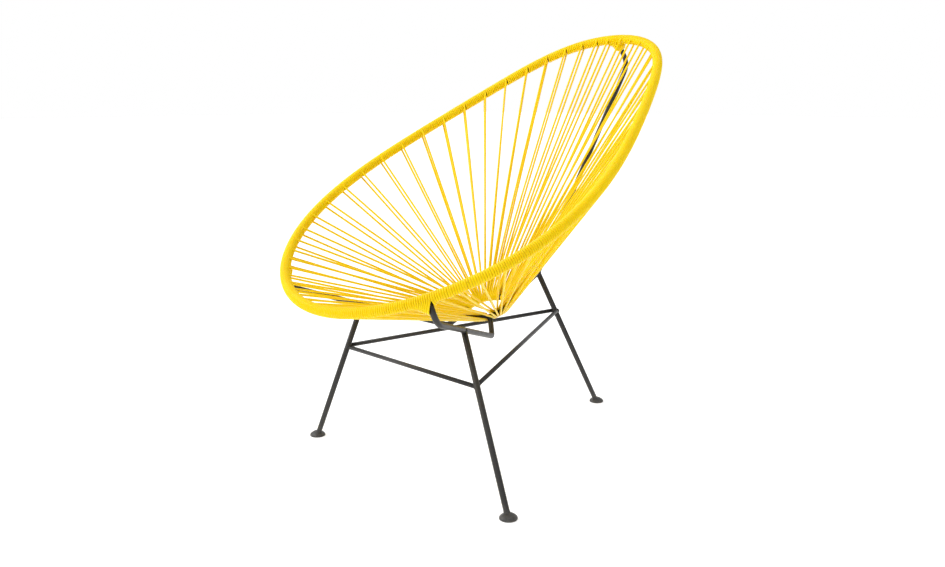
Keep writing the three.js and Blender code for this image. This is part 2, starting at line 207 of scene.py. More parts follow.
def hub_turn_at(length):
    whole, rest = np.divmod(length, rim_length)
    known = np.concatenate([[0], anchor_lengths, [rim_length]])
    return np.interp(rest, known, np.concatenate([[0], anchor_hub_turns, [2 * pi]])) + whole * 2 * pi


# %% [markdown]
# ## Rods, legs and stretchers as lines
# Before anything is made round, each steel piece is a line with corners. The rods leave the rim
# downwards, bend, and run in under the hub ring. Each bend is told from the joint that it is nearest
# to, as a bender would mark it.

# %% Corners of the rods
rod_diameter = 0.0115
side_rim_bend = {"outward": 0.007, "back": 0.014, "down": 0.0465}
side_hub_bend = {"outward": 0.040, "down": 0.034}
rear_rim_bend = np.array([0, 0.046, -0.056])
rear_knee = np.array([0, 0.1225, 0.039])
rear_hub_bend = np.array([0, 0.023, -0.014])
side_signs = {"left": 1, "right": -1}


def side_rod_corners(sign):
    joint = rim_point(sign * turn_at(side_joint_length))
    hub_joint = hub_point(sign * side_hub_turn)
    outward = np.array([sign * sin(side_hub_turn), cos(side_hub_turn), 0])
    bend = np.array([sign * side_rim_bend["outward"], side_rim_bend["back"], -side_rim_bend["down"]])
    hub_bend = hub_joint + outward * side_hub_bend["outward"] - [0, 0, side_hub_bend["down"]]
    return [joint, joint + bend, hub_bend, hub_joint]


def rear_rod_corners():
    joint, hub_joint = rim_point(0.0), hub_point(0.0)
    return [joint, joint + rear_rim_bend, hub_joint + rear_knee, hub_joint + rear_hub_bend, hub_joint]


rod_corners = {"rear": rear_rod_corners()}
rod_corners.update({name: side_rod_corners(sign) for name, sign in side_signs.items()})
print("corners of the rods:", {name: len(corners) for name, corners in rod_corners.items()})

# %% [markdown]
# The rear leg ends at its rod's knee, and each side leg at a point along its rod. The measured feet say
# where the legs stand. The stretchers tie the legs into a triangle, so a point on a leg is found by its
# height.

# %% Lines of the legs
side_leg_share = 0.438


def foot_centre(name):
    low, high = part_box(f"foot_{name}")
    return np.array([(low.x + high.x) / 2, (low.y + high.y) / 2, 0])


leg_tops = {"rear": rod_corners["rear"][2]}
for name in side_signs:
    _, rim_bend, hub_bend, _ = rod_corners[name]
    leg_tops[name] = rim_bend + (hub_bend - rim_bend) * side_leg_share
leg_feet = {name: foot_centre(name) for name in leg_tops}


def leg_point(name, height):
    return leg_feet[name] + (leg_tops[name] - leg_feet[name]) * height / leg_tops[name][2]


for name in leg_tops:
    print(f"leg {name}: {np.linalg.norm(leg_tops[name] - leg_feet[name]):.3f} m long")

# %% [markdown]
# ## One helper that makes every round thing
# A rod, a leg, a weld and a cord are all the same idea: a round section carried along a line. Blender
# can bevel a curve to do this, but the cord needs a section that flattens where it is pressed, so the
# rings are laid one by one. Each ring has a centre, a direction that counts as outward, and its half sizes
# outward and across. The helper also stores how far along the piece each point lies, which the
# materials use for lengthwise marks.


# %% Rings into a mesh
def mesh_from_rings(name, centres, outward, half_out, half_across, sides, closed=False):
    """An object whose skin joins rings of points, one ring round each centre."""
    centres = np.asarray(centres, float)
    count = len(centres)
    if closed:
        ahead, behind = np.roll(centres, -1, 0), np.roll(centres, 1, 0)
    else:
        ahead = np.concatenate([centres[1:], 2 * centres[-1:] - centres[-2:-1]])
        behind = np.concatenate([2 * centres[:1] - centres[1:2], centres[:-1]])
    forward = unit(ahead - behind)
    outward = np.broadcast_to(np.asarray(outward, float), centres.shape)
    outward = unit(outward - (outward * forward).sum(1, keepdims=True) * forward)
    across = np.cross(forward, outward)
    angles = np.arange(sides) / sides * 2 * pi
    half_out = np.broadcast_to(half_out, count)[:, None, None]
    half_across = np.broadcast_to(half_across, count)[:, None, None]
    ring = np.cos(angles)[None, :, None] * half_out * outward[:, None]
    ring = ring + np.sin(angles)[None, :, None] * half_across * across[:, None]
    points = (centres[:, None] + ring).reshape(-1, 3)

    ring_at = np.arange(count if closed else count - 1)[:, None] * sides
    next_ring = (ring_at + sides) % (count * sides)
    corner, next_corner = np.arange(sides)[None], (np.arange(sides)[None] + 1) % sides
    here, there = [ring_at + corner, ring_at + next_corner], [next_ring + next_corner, next_ring + corner]
    faces = np.stack(here + there, -1).reshape(-1, 4).tolist()
    if not closed:
        faces.append(list(range(sides))[::-1])
        faces.append(list(range((count - 1) * sides, count * sides)))

    mesh = bpy.data.meshes.new(name)
    mesh.from_pydata(points.tolist(), [], faces)
    mesh.shade_smooth()
    reach = np.concatenate([[0], np.cumsum(np.linalg.norm(np.diff(centres, axis=0), axis=1))])
    around = [np.tile(np.cos(angles), count), np.tile(np.sin(angles), count)]
    marks = np.stack([np.repeat(reach, sides), *around], -1)
    run = mesh.attributes.new("run", "FLOAT_VECTOR", "POINT")
    run.data.foreach_set("vector", marks.astype(np.float32).ravel())
    mesh.validate()
    piece = bpy.data.objects.new(name, mesh)
    bpy.context.scene.collection.objects.link(piece)
    return piece


def dress(piece, material, slot_name, *nodes):
    """Give a piece its finish, let it stand for measured nodes, and fix it to the frame. The slot name is
    not used.
    """
    piece.data.materials.append(material)
    if nodes:
        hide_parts(*nodes)
    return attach(piece, "root")


# %% [markdown]
# ## Helpers for finishes
# A finish is a small tree of nodes that ends in one shader. Image textures would need unwrapping, so
# every mark here is worked out from the place on the piece. These helpers make the nodes that the
# finishes share: a noise, its middle part spread over a range, a blend of two colours, and a bump from
# a height.


# %% Nodes that the finishes share
def shader_nodes(name):
    material = bpy.data.materials.new(name)
    material.use_nodes = True
    tree = material.node_tree
    return material, tree, tree.nodes["Principled BSDF"]


def noise(tree, vector, scale, detail):
    node = tree.nodes.new("ShaderNodeTexNoise")
    node.inputs["Scale"].default_value = scale
    node.inputs["Detail"].default_value = detail
    tree.links.new(vector, node.inputs["Vector"])
    return node.outputs["Fac"]


noise_low, noise_high = 0.3, 0.7


def ranged(tree, value, low, high):
    """A noise stays mostly between two values, and that part of it is spread from low to high."""
    node = tree.nodes.new("ShaderNodeMapRange")
    node.inputs["From Min"].default_value = noise_low
    node.inputs["From Max"].default_value = noise_high
    node.inputs["To Min"].default_value = low
    node.inputs["To Max"].default_value = high
    tree.links.new(value, node.inputs["Value"])
    return node.outputs["Result"]


def blend_of(tree, share, first, second):
    node = tree.nodes.new("ShaderNodeMix")
    node.data_type = "RGBA"
    node.inputs["A"].default_value = (*first, 1)
    node.inputs["B"].default_value = (*second, 1)
    tree.links.new(share, node.inputs["Factor"])
    return node.outputs["Result"]


def place_in_piece(tree):
    return tree.nodes.new("ShaderNodeTexCoord").outputs["Object"]


def place_along(tree, along_scale, around_scale):
    """The stored distance along a piece and place round it, each scaled."""
    attribute = tree.nodes.new("ShaderNodeAttribute")
    attribute.attribute_name = "run"
    scale = tree.nodes.new("ShaderNodeVectorMath")
    scale.operation = "MULTIPLY"
    scale.inputs[1].default_value = (along_scale, around_scale, around_scale)
    tree.links.new(attribute.outputs["Vector"], scale.inputs[0])
    return scale.outputs["Vector"]


def bump(tree, shader, height, depth):
    node = tree.nodes.new("ShaderNodeBump")
    node.inputs["Distance"].default_value = depth
    tree.links.new(height, node.inputs["Height"])
    tree.links.new(node.outputs["Normal"], shader.inputs["Normal"])


def summed(tree, first, second, second_share):
    node = tree.nodes.new("ShaderNodeMath")
    node.operation = "MULTIPLY_ADD"
    node.inputs[1].default_value = second_share
    tree.links.new(second, node.inputs[0])
    tree.links.new(first, node.inputs[2])
    return node.outputs["Value"]


# %% [markdown]
# ## Plastic for the cord
# The cord is extruded PVC: a clear strong yellow, satin, with faint lines along its length from the
# die, small pits, and a shade that drifts a little from metre to metre. Paint would have one even
# colour, so the colour is mixed from two yellows by a slow noise, and the shine and the bump each have
# a noise of their own. Light goes a little way into such plastic, red and green light much further than
# blue, so some subsurface scattering keeps the cord's shaded side warm and not grey.

# %% Cord material
cord_yellows = [(0.81, 0.56, 0.0003), (0.84, 0.605, 0.0006)]
cord_roughness = (0.3, 0.44)
cord_gloss = 0.15
light_inside_share = 0.4
light_inside_reach = (0.003, 0.0018, 0.0002)
drift_scale, drift_detail = 9.0, 3.0
shine_scale, shine_detail = 140.0, 2.0
die_line_stretch = (6.0, 3.0)
die_line_scale, die_line_detail = 3.0, 1.0
pit_scale, pit_detail = 2600.0, 1.0
pit_share = 0.25
cord_mark_depth = 0.00008


def cord_plastic():
    material, tree, shader = shader_nodes("yellow_cord_plastic")
    place = place_in_piece(tree)
    drift = noise(tree, place, drift_scale, drift_detail)
    colour = blend_of(tree, ranged(tree, drift, 0, 1), *cord_yellows)
    tree.links.new(colour, shader.inputs["Base Color"])
    shine = noise(tree, place, shine_scale, shine_detail)
    tree.links.new(ranged(tree, shine, *cord_roughness), shader.inputs["Roughness"])
    die_lines = noise(tree, place_along(tree, *die_line_stretch), die_line_scale, die_line_detail)
    pits = noise(tree, place, pit_scale, pit_detail)
    bump(tree, shader, summed(tree, die_lines, pits, pit_share), cord_mark_depth)
    shader.inputs["Specular IOR Level"].default_value = cord_gloss
    shader.inputs["Subsurface Weight"].default_value = light_inside_share
    shader.inputs["Subsurface Radius"].default_value = light_inside_reach
    shader.inputs["Subsurface Scale"].default_value = 1
    return material


cord_material = cord_plastic()
print(f"{cord_material.name}: {len(cord_material.node_tree.nodes)} nodes")

# %% [markdown]
# ## The winding
# Winding is a screw line round the rim. Between two anchors it makes a whole number of turns, and at an
# anchor the half turn on the inner side is left out: there the cord runs to the hub instead. So one
# angle rule gives everything. Angle 0 faces the hub, a quarter turn is the upper face, and half a turn
# is the outer side. Where a rod is welded to the rim, the turns can't pass through it: they are pushed
# aside, pile up and climb the rod.

# %% Winding sizes, and the rim's own directions
cord_diameter = 0.0045
wall_gap = 0.0003
winding_radius = rim_rod / 2 + wall_gap + cord_diameter / 2
nominal_pitch = 0.0044
pressed_share = 1.06
turn_samples = 20
cord_sides = 8


def rim_frame(length):
    """A place on the rim with its directions: along the rim, in towards the hub, and up."""
    turn = turn_at(length)
    centre, tangent = rim_point(turn), direction_of(rim_point, turn)
    run = unit(centre - hub_point(hub_turn_at(length)))
    inward = -unit(run - (run * tangent).sum(-1, keepdims=True) * tangent)
    return centre, tangent, inward, np.cross(inward, tangent)


print(f"the wound rim is {(winding_radius + cord_diameter / 2) * 2000:.1f} mm across")

# %% [markdown]
# Beside a rod the turns lie in a pile that is highest at the rod and runs out along the rim. One side
# has the long pile, and the other only a short one. The push and the rise are strongest on the face
# that the rod leaves from, and fade to nothing a quarter turn away from it.

# %% The turns that crowd round a rod
crowd_parting = 0.004
crowd_back_reach = 0.012
pile_slope = 1.6
rod_clearance = rod_diameter / 2 + cord_diameter / 2


def rod_facing(length, corners):
    _, _, inward, upward = rim_frame(np.array([length]))
    rod_run = unit(corners[1] - corners[0])
    return atan2(upward[0] @ rod_run, inward[0] @ rod_run)


rod_joints = {
    "rear": {"pile_side": -1, "reach": 0.030, "rise": 0.016, "back_rise": 0.008},
    "left": {"pile_side": 1, "reach": 0.036, "rise": 0.018, "back_rise": 0.0065},
    "right": {"pile_side": -1, "reach": 0.036, "rise": 0.014, "back_rise": 0.006},
}
rod_joint_lengths = {"rear": 0.0, "left": side_joint_length, "right": far_joint_length}
for name, joint in rod_joints.items():
    joint["length"] = rod_joint_lengths[name]
    joint["facing"] = rod_facing(joint["length"], rod_corners[name])
    print(f"{name} rod: the turns rise {joint['rise'] * 1000:.0f} mm on it")


def wrapped(values, whole):
    return (values + whole / 2) % whole - whole / 2


def crowd(length, angle, pitch):
    """How far turns are pushed along the rim, and how far they rise, where they meet a rod."""
    shift, rise = np.zeros_like(length), np.zeros_like(length)
    for joint in rod_joints.values():
        reach = joint["reach"]
        off_facing = wrapped(angle - joint["facing"], 2 * pi)
        facing_share = np.clip(np.cos(off_facing), 0, 1) ** 2
        passing = length - off_facing / (2 * pi) * pitch
        away = joint["pile_side"] * wrapped(passing - joint["length"], rim_length)
        piled = np.interp(away, [-crowd_parting, reach], [rod_clearance, reach])
        back_ends = [-crowd_back_reach, -crowd_parting]
        backed = np.interp(away, back_ends, [-crowd_back_reach, -rod_clearance])
        on_pile = (away > -crowd_parting) & (away < reach)
        on_back = (away <= -crowd_parting) & (away > -crowd_back_reach)
        pushed = np.where(on_pile, piled, np.where(on_back, backed, away))
        height = joint["rise"] * np.interp(pushed, [rod_clearance, reach], [1, 0]) ** pile_slope
        back_height = np.interp(pushed, [-crowd_back_reach, -rod_clearance], [0, joint["back_rise"]])
        shift += joint["pile_side"] * (pushed - away) * facing_share
        rise += np.where(on_pile, height, np.where(on_back, back_height, 0)) * facing_share
    return shift, rise


# %% [markdown]
# A hand-wound cord is never perfect, so each turn leans and lifts by a tenth of a millimetre or so. The
# waver is drawn once, from a seeded source, and read along the rim. The turns next to an anchor lean
# into the half turn that is missing there, and all turns are pressed together, so they are a little
# wider than round.

# %% Waver, and one gap's worth of winding
waver_seed = 1958
waver_knot_count = 1400
waver_source = np.random.default_rng(waver_seed)
waver_knots = waver_source.normal(size=(2, waver_knot_count))
lean_size = 0.0001
lift_size = 0.00008
waver_fade_power = 0.25
closing_share = 0.4
closing_turns = 3


def waver(kind, length):
    place = length / rim_length * (waver_knot_count - 1)
    return np.interp(place, np.arange(waver_knot_count), waver_knots[kind])


gap_lengths = np.diff(np.append(anchor_lengths, anchor_lengths[0] + rim_length))
gap_turns = np.round(gap_lengths / nominal_pitch).astype(int)
gap_pitches = gap_lengths / gap_turns
pitch_range = f"{gap_pitches.min() * 1000:.2f} to {gap_pitches.max() * 1000:.2f} mm"
print(f"{gap_turns.sum()} turns in all, {pitch_range} apart")


def winding_rings(gap):
    """The turns between one anchor and the next, as rings for the mesh."""
    pitch, turns = gap_pitches[gap], gap_turns[gap]
    angle = np.linspace(pi / 2, 2 * pi * turns - pi / 2, (turns * 2 - 1) * turn_samples // 2 + 1)
    length = anchor_lengths[gap] + angle / (2 * pi) * pitch
    shift, rise = crowd(length, angle, pitch)
    inside = np.sin((angle - angle[0]) / (angle[-1] - angle[0]) * pi) ** waver_fade_power
    from_start, from_end = angle / (2 * pi), turns - angle / (2 * pi)
    closing = np.exp(-from_end / closing_turns) - np.exp(-from_start / closing_turns)
    shift = shift + closing * closing_share * pitch * np.clip(np.cos(angle), 0, 1)
    shift = shift + waver(0, length) * lean_size * inside
    rise = rise + np.abs(waver(1, length)) * lift_size * inside
    centre, _, inward, upward = rim_frame(length + shift)
    outward = np.cos(angle)[:, None] * inward + np.sin(angle)[:, None] * upward
    centre = centre + outward * (winding_radius + rise)[:, None]
    half_out = np.full(len(centre), cord_diameter / 2)
    return [centre, outward, half_out, np.full(len(centre), pitch * pressed_share / 2)]


# %% [markdown]
# ## The strands
# A hairpin of cord leaves the lower face of the winding, runs to the hub ring, goes round its inner
# side and comes back to the upper face. The strands are taut, so they are straight. On the ring they
# crowd edge to edge, and each is pressed narrower than it is wide. Where a strand leaves the winding at
# a slant, the corner is rounded with a short curve, as a real cord would do.

# %% One hairpin
hub_wrap_radius = hub_rod / 2 + wall_gap + cord_diameter / 2
hub_wrap_steps = 10
strand_steps = 9
corner_steps = 4
corner_reach = 0.005
hub_waver_size = 0.00015
hub_waver = waver_source.normal(size=anchor_count) * hub_waver_size / hub_radius
turns_before = np.append(anchor_hub_turns[-1] - 2 * pi, anchor_hub_turns[:-1])
turns_after = np.append(anchor_hub_turns[1:], anchor_hub_turns[0] + 2 * pi)
hub_gaps = np.minimum(anchor_hub_turns - turns_before, turns_after - anchor_hub_turns)
hub_pressed = np.minimum(cord_diameter, hub_gaps * (hub_radius - hub_wrap_radius))


def rim_leaving(length, angle, pitch):
    """Where the winding ends and a strand begins, raised like the turns beside it."""
    shift, rise = crowd(np.array([length]), np.array([angle]), pitch)
    centre, _, inward, upward = rim_frame(np.array([length]) + shift)
    outward = cos(angle) * inward[0] + sin(angle) * upward[0]
    return centre[0] + outward * (winding_radius + rise[0]), outward


def rounded_corner(before, corner, after):
    share = np.linspace(0, 1, corner_steps + 2)[1:-1, None]
    return (1 - share) ** 2 * before + 2 * share * (1 - share) * corner + share**2 * after


def strand_rings(rim_end, rim_outward, before, hub_end, hub_outward):
    """From the winding to the hub: a rounded corner, then the straight run without its two ends."""
    along = unit(hub_end - rim_end)
    start = rim_end + along * corner_reach
    corner = rounded_corner(before, rim_end, start)
    share = np.linspace(0, 1, strand_steps)[:-1, None]
    run = start + (hub_end - start) * share
    centre = np.concatenate([corner, run])
    turning = np.concatenate([np.zeros((len(corner), 1)), share])
    return centre, rim_outward * (1 - turning) + hub_outward * turning


def hairpin_rings(anchor):
    """Down from the winding's lower face, round the hub ring and back to its upper face."""
    before_pitch, after_pitch = gap_pitches[anchor - 1], gap_pitches[anchor]
    length = anchor_lengths[anchor]
    hub_turn = anchor_hub_turns[anchor] + hub_waver[anchor]
    hub_middle = hub_point(hub_turn)
    rim_middle = rim_point(turn_at(length))
    run = unit(rim_middle - hub_middle)
    hub_up = unit(np.cross(direction_of(hub_point, hub_turn), run))
    lower, lower_out = rim_leaving(length - before_pitch / 4, -pi / 2, before_pitch)
    upper, upper_out = rim_leaving(length + after_pitch / 4, pi / 2, after_pitch)
    lean, step = 2 * pi / turn_samples, 0.25 + 1 / turn_samples
    lower_before, _ = rim_leaving(length - before_pitch * step, -pi / 2 - lean, before_pitch)
    upper_before, _ = rim_leaving(length + after_pitch * step, pi / 2 + lean, after_pitch)

    wrap = np.linspace(-pi / 2, pi / 2, hub_wrap_steps + 1)
    wrap_out = np.sin(wrap)[:, None] * hub_up - np.cos(wrap)[:, None] * run
    wrap_centre = hub_middle + wrap_out * hub_wrap_radius
    down, down_out = strand_rings(lower, lower_out, lower_before, wrap_centre[0], wrap_out[0])
    back, back_out = strand_rings(upper, upper_out, upper_before, wrap_centre[-1], wrap_out[-1])

    centre = np.concatenate([down, wrap_centre, back[::-1]])
    outward = np.concatenate([down_out, wrap_out, back_out[::-1]])
    pressing = np.concatenate([np.zeros(len(down)), np.cos(wrap) ** 0.5, np.zeros(len(back))])
    half_across = (cord_diameter + (hub_pressed[anchor] - cord_diameter) * pressing) / 2
    return [centre, outward, np.full(len(centre), cord_diameter / 2), half_across]


print(f"cord pressed to {hub_pressed.min() * 1000:.2f} mm at the tightest place on the hub ring")

# %% [markdown]
# ## The cord, length by length
# The real cord is one piece. Here it is one unbroken route, cut where no one can see it, inside the
# winding, into the same lengths as the frame's own cord nodes, so each length stands for its node.

# %% Cut the route into lengths
cord_nodes = [
    ("cord_rear", 4), ("cord_left_1", 4), ("cord_left_2", 4), ("cord_left_3", 4), ("cord_left_4", 5),
    ("cord_left_rod", 4), ("cord_front_left", 5), ("cord_front_right", 5), ("cord_right_rod", 4),
    ("cord_right_4", 5), ("cord_right_3", 4), ("cord_right_2", 4), ("cord_right_1", 4),
]


def half_winding(gap, second):
    """The first or second half of the winding in a gap, where two lengths of cord share it."""
    rings = winding_rings(gap % anchor_count)
    middle = len(rings[0]) // 2
    return [part[middle:] if second else part[:middle + 1] for part in rings]


def cord_rings(first, last):
    """One length of cord: its hairpins and windings in turn, with the shared rings kept once."""
    parts = [half_winding(first - 1, second=True)]
    for anchor in range(first, last + 1):
        parts.append(hairpin_rings(anchor))
        parts.append(winding_rings(anchor) if anchor < last else half_winding(anchor, second=False))
    for i, part in enumerate(parts[1:], 1):
        if i % 2:
            parts[i - 1] = [values[:-1] for values in parts[i - 1]]
        else:
            parts[i] = [values[1:] for values in part]
    return [np.concatenate([part[k] for part in parts]) for k in range(4)]


cord_run = 0.0
first_pair = -cord_nodes[0][1] // 2
for node, pairs in cord_nodes:
    centres, outward, half_out, half_across = cord_rings(first_pair, first_pair + pairs - 1)
    piece = mesh_from_rings(f"strung_{node}", centres, outward, half_out, half_across, cord_sides)
    dress(piece, cord_material, "cord", node)
    cord_run += np.linalg.norm(np.diff(centres, axis=0), axis=1).sum()
    first_pair += pairs
print(f"{cord_run:.1f} m of cord in {len(cord_nodes)} lengths")

# %% [markdown]
# At the head the cord also goes round the end of the rear rod: some turns down it, and then back over
# themselves, with both ends under the winding.

# %% Cord round the rear rod's end
rod_wrap_start = 0.005
rod_wrap_reach = 0.026
rod_wrap_turns = (4.5, 4.5)
rod_wrap_swell = 0.0042


def rod_wrap_rings(corners):
    down, back = rod_wrap_turns
    turns = np.linspace(0, down + back, round((down + back) * turn_samples) + 1)
    along = np.interp(turns, [0, down, down + back], [rod_wrap_start, rod_wrap_reach, rod_wrap_start])
    radius = rod_clearance + rod_wrap_swell * np.interp(turns, [down, down + 1], [0, 1])
    rod_run = unit(corners[1] - corners[0])
    side = direction_of(rim_point, 0.0)
    other = np.cross(rod_run, side)
    outward = np.cos(turns * 2 * pi)[:, None] * side + np.sin(turns * 2 * pi)[:, None] * other
    return corners[0] + rod_run * along[:, None] + outward * radius[:, None], outward


wrap_line, wrap_outward = rod_wrap_rings(rod_corners["rear"])
rod_wrap = mesh_from_rings("wrapped_cord_rear", wrap_line, wrap_outward, cord_diameter / 2,
                           cord_diameter * pressed_share / 2, cord_sides)
dress(rod_wrap, cord_material, "cord")
print(f"{np.linalg.norm(np.diff(wrap_line, axis=0), axis=1).sum():.2f} m of cord round the rear rod's end")

# %% [markdown]
# ## Coated steel
# The frame is powder coated: a dark charcoal with the faint orange peel of baked powder, a satin shine
# that varies a little, and dust that dulls it near the floor. The same finish goes on every steel
# piece, and on the feet it is a little paler and duller. The rim can't be seen inside the
# winding, so the measured solid stays there and only takes the coat.

# %% Steel material
mottle_scale, mottle_detail = 60.0, 4.0
dust_colour = (0.16, 0.15, 0.135, 1)
most_dust_share = 0.55
dust_patch_scale, dust_patch_detail = 180.0, 5.0
peel_scale, peel_detail = 900.0, 2.0
grit_scale, grit_detail = 4200.0, 1.0
grit_share = 0.3
coat_mark_depth = 0.00006
coat_gloss = 0.4


def coated_steel(name, dark, light, roughness, dust_height):
    material, tree, shader = shader_nodes(name)
    place = place_in_piece(tree)
    mottle = noise(tree, place, mottle_scale, mottle_detail)
    coat = blend_of(tree, ranged(tree, mottle, 0, 1), dark, light)
    height = tree.nodes.new("ShaderNodeSeparateXYZ")
    tree.links.new(place, height.inputs["Vector"])
    near_floor = tree.nodes.new("ShaderNodeMapRange")
    near_floor.inputs["From Max"].default_value = dust_height
    near_floor.inputs["To Min"].default_value = most_dust_share
    near_floor.inputs["To Max"].default_value = 0
    tree.links.new(height.outputs["Z"], near_floor.inputs["Value"])
    patches = tree.nodes.new("ShaderNodeMath")
    patches.operation = "MULTIPLY"
    tree.links.new(near_floor.outputs["Result"], patches.inputs[0])
    patchy = noise(tree, place, dust_patch_scale, dust_patch_detail)
    tree.links.new(ranged(tree, patchy, 0, 1), patches.inputs[1])
    dusty = tree.nodes.new("ShaderNodeMix")
    dusty.data_type = "RGBA"
    dusty.inputs["B"].default_value = dust_colour
    tree.links.new(patches.outputs["Value"], dusty.inputs["Factor"])
    tree.links.new(coat, dusty.inputs["A"])
    tree.links.new(dusty.outputs["Result"], shader.inputs["Base Color"])
    tree.links.new(ranged(tree, mottle, *roughness), shader.inputs["Roughness"])
    peel = noise(tree, place, peel_scale, peel_detail)
    grit = noise(tree, place, grit_scale, grit_detail)
    bump(tree, shader, summed(tree, peel, grit, grit_share), coat_mark_depth)
    shader.inputs["Specular IOR Level"].default_value = coat_gloss
    return material


steel_material = coated_steel(
    "charcoal_coat",
    dark=(0.015, 0.014, 0.0132),
    light=(0.021, 0.0197, 0.0186),
    roughness=(0.36, 0.46),
    dust_height=0.03,
)
foot_material = coated_steel(
    "charcoal_foot",
    dark=(0.022, 0.0215, 0.021),
    light=(0.03, 0.029, 0.028),
    roughness=(0.4, 0.52),
    dust_height=0.012,
)
hidden_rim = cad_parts["rim"].data
hidden_rim.materials.clear()
hidden_rim.materials.append(steel_material)
print(f"two coats: {steel_material.name} and {foot_material.name}")

# %% [markdown]
# ## Bent rods
# A bent rod is a run of straight lines whose corners are arcs. Each corner gets an arc that touches
# both lines, and the section is carried round it. The ends sink a little into what they are welded to.

# %% Rods with round bends
rod_sides = 24
wide_bend = 0.030
tight_bend = 0.016
bend_steps = 8
weld_depth = 0.0015


def bent_line(corners):
    """A line with its corners turned to arcs. The last one, beside the hub ring, is tight."""
    points = [corners[0]]
    for before, corner, after in zip(corners, corners[1:], corners[2:]):
        radius = tight_bend if after is corners[-1] else wide_bend
        into, out_of = unit(corner - before), unit(after - corner)
        bend = np.arccos(np.clip(into @ out_of, -1, 1))
        inward = unit(out_of - into * (out_of @ into))
        start = corner - into * radius * tan(bend / 2)
        for k in range(bend_steps + 1):
            angle = bend * k / bend_steps
            points.append(start + into * radius * sin(angle) + inward * radius * (1 - cos(angle)))
    points.append(corners[-1])
    return np.array(points)


def seated(corners, first_radius, last_radius):
    """The same corners with both ends drawn back to the skin of what they are welded to."""
    seats = [corner.copy() for corner in corners]
    seats[0] += unit(corners[1] - corners[0]) * (first_radius - weld_depth)
    seats[-1] += unit(corners[-2] - corners[-1]) * (last_radius - weld_depth)
    return seats


def square_to(line):
    """A steady outward direction for a bent line: square to the plane that it mostly lies in."""
    spread = line - line.mean(0)
    return np.linalg.svd(spread)[2][2]


rod_radius = rod_diameter / 2
for name, corners in rod_corners.items():
    line = bent_line(seated(corners, rim_rod / 2, hub_rod / 2))
    rod = mesh_from_rings(f"bent_rod_{name}", line, square_to(line), rod_radius, rod_radius, rod_sides)
    dress(rod, steel_material, "frame_steel", f"support_rod_{name}")
    print(f"rod {name}: {np.linalg.norm(np.diff(line, axis=0), axis=1).sum():.3f} m of bar")

# %% [markdown]
# The hub ring is bar bent into a small circle and welded shut. A torus from Blender's menu would do,
# but the helper that carries a section round a closed line gives it the same marks along its length as
# the other bars.

# %% The hub ring
ring_steps = 96
ring_sides = 20
ring_turns = np.arange(ring_steps) / ring_steps * 2 * pi
hub_axis = np.array([0, -sin(hub_tilt), cos(hub_tilt)])
ring = mesh_from_rings("round_hub_ring", hub_point(ring_turns), hub_axis, hub_rod / 2, hub_rod / 2,
                       ring_sides, closed=True)
dress(ring, steel_material, "frame_steel", "hub_ring")
print(f"hub ring {(hub_radius + hub_rod / 2) * 2000:.0f} mm across")

# %% [markdown]
# ## Legs, stretchers and feet
# A leg is straight bar that spreads a little where it is welded to its foot. A cylinder would miss
# that, so the rings near the foot are wider and shrink to the bar's size on a curve.

# %% Legs
leg_diameter = 0.012
leg_radius = leg_diameter / 2
foot_rise = 0.007
flare_radius = 0.008
flare_length = 0.009
flare_steps = 8
flare_power = 1.8
upright_share = 0.9


def steady_side(direction):
    """A direction square to a bar, taken from the upright axis unless the bar is nearly upright itself."""
    upright = abs(direction[2]) >= upright_share
    return np.cross(direction, [0, 1, 0] if upright else [0, 0, 1])


for name in leg_tops:
    foot, top = leg_point(name, foot_rise), leg_tops[name]
    upward = unit(top - foot)
    end = np.linalg.norm(top - foot) - weld_depth
    spread_share = np.linspace(0, 1, flare_steps + 1)
    reach = np.append(spread_share * flare_length, end)
    spreading = (1 - np.append(spread_share, 1)) ** flare_power
    radii = leg_radius + (flare_radius - leg_radius) * spreading
    line = foot + upward * reach[:, None]
    leg = mesh_from_rings(f"straight_leg_{name}", line, steady_side(upward), radii, radii, rod_sides)
    dress(leg, steel_material, "frame_steel", f"leg_{name}")
print(f"{len(leg_tops)} legs of {leg_diameter * 1000:.0f} mm bar")

# %% [markdown]
# The stretchers are straight bar, thinner than the legs. At the rear leg two of them meet, so their
# ends are set a little apart, one on each side of the leg.

# %% Stretchers
stretcher_diameter = 0.009
stretcher_radius = stretcher_diameter / 2
front_stretcher_height = 0.2255
side_stretcher_height = 0.2285
rear_stretcher_height = 0.2645
stretcher_parting = 0.00465


def stretcher_line(name):
    if name == "front":
        ends = leg_point("left", front_stretcher_height), leg_point("right", front_stretcher_height)
    else:
        parting = np.array([side_signs[name] * stretcher_parting, 0, 0])
        ends = leg_point(name, side_stretcher_height), leg_point("rear", rear_stretcher_height) + parting
    inset = unit(ends[1] - ends[0]) * weld_depth
    return np.array([ends[0] + inset, ends[1] - inset])


for name in ("front", "left", "right"):
    line = stretcher_line(name)
    side = steady_side(unit(line[1] - line[0]))
    bar = mesh_from_rings(f"tie_bar_{name}", line, side, stretcher_radius, stretcher_radius, rod_sides)
    dress(bar, steel_material, "frame_steel", f"stretcher_{name}")
    print(f"stretcher {name}: {np.linalg.norm(line[1] - line[0]):.3f} m")

# %% [markdown]
# A foot is a low domed disc, turned, with a soft edge. A turned disc is a profile spun round a line.
# The profile below is given in shares of the foot's radius and height, and a subdivision surface rounds
# it, so only the corners that shape it are needed.

# %% Feet
foot_radius = 0.0175
foot_height = 0.0115
foot_sides = 32
foot_shares = [(0.0, 0.0), (0.8, 0.0), (0.95, 0.0), (1.0, 0.05), (1.0, 0.14), (1.0, 0.26), (0.94, 0.43),
               (0.74, 0.68), (0.52, 0.86), (0.4, 0.96), (0.0, 1.0)]


